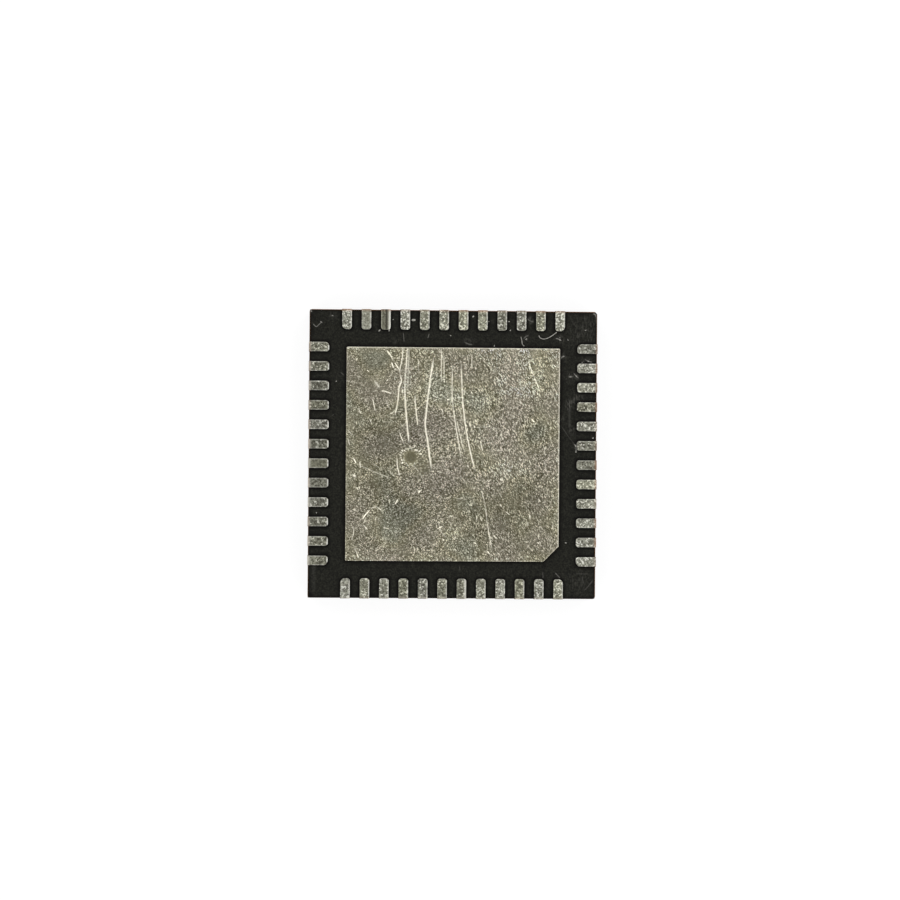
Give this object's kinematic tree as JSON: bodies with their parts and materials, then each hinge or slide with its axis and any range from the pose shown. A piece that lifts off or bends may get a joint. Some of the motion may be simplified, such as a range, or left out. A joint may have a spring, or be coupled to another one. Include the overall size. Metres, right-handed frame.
{
  "type": "integrated circuit",
  "caption": "Square flat no-lead integrated circuit package lying on its marked face, with plated leads along all four sides and a large exposed thermal pad, scratched from use.",
  "frame": {"origin": "centre of the marked face, which the part lies on", "axes": "+Z out of the soldering side, +X and +Y along the sides; the pin 1 corner is at +X, -Y"},
  "size_m": [0.006, 0.006, 0.0009],
  "materials": {
    "mould_epoxy": "moulded black epoxy with sawn sides",
    "tinned_copper": "matt tin plate on copper, grained and scratched, bare copper where sawn",
    "silicon": "polished",
    "silver_epoxy": "silver-filled glue",
    "gold_wire": "drawn wire"
  },
  "bodies": {
    "root": {"mould_body": "mould_epoxy", "die_paddle": "tinned_copper", "die_attach": "silver_epoxy", "die": "silicon", "bond_wires": "gold_wire", "lead_01": "tinned_copper", "lead_02": "tinned_copper", "lead_03": "tinned_copper", "lead_04": "tinned_copper", "lead_05": "tinned_copper", "lead_06": "tinned_copper", "lead_07": "tinned_copper", "lead_08": "tinned_copper", "lead_09": "tinned_copper", "lead_10": "tinned_copper", "lead_11": "tinned_copper", "lead_12": "tinned_copper", "lead_13": "tinned_copper", "lead_14": "tinned_copper", "lead_15": "tinned_copper", "lead_16": "tinned_copper", "lead_17": "tinned_copper", "lead_18": "tinned_copper", "lead_19": "tinned_copper", "lead_20": "tinned_copper", "lead_21": "tinned_copper", "lead_22": "tinned_copper", "lead_23": "tinned_copper", "lead_24": "tinned_copper", "lead_25": "tinned_copper", "lead_26": "tinned_copper", "lead_27": "tinned_copper", "lead_28": "tinned_copper", "lead_29": "tinned_copper", "lead_30": "tinned_copper", "lead_31": "tinned_copper", "lead_32": "tinned_copper", "lead_33": "tinned_copper", "lead_34": "tinned_copper", "lead_35": "tinned_copper", "lead_36": "tinned_copper", "lead_37": "tinned_copper", "lead_38": "tinned_copper", "lead_39": "tinned_copper", "lead_40": "tinned_copper", "lead_41": "tinned_copper", "lead_42": "tinned_copper", "lead_43": "tinned_copper", "lead_44": "tinned_copper", "lead_45": "tinned_copper", "lead_46": "tinned_copper", "lead_47": "tinned_copper", "lead_48": "tinned_copper"}
  },
  "joints": []
}
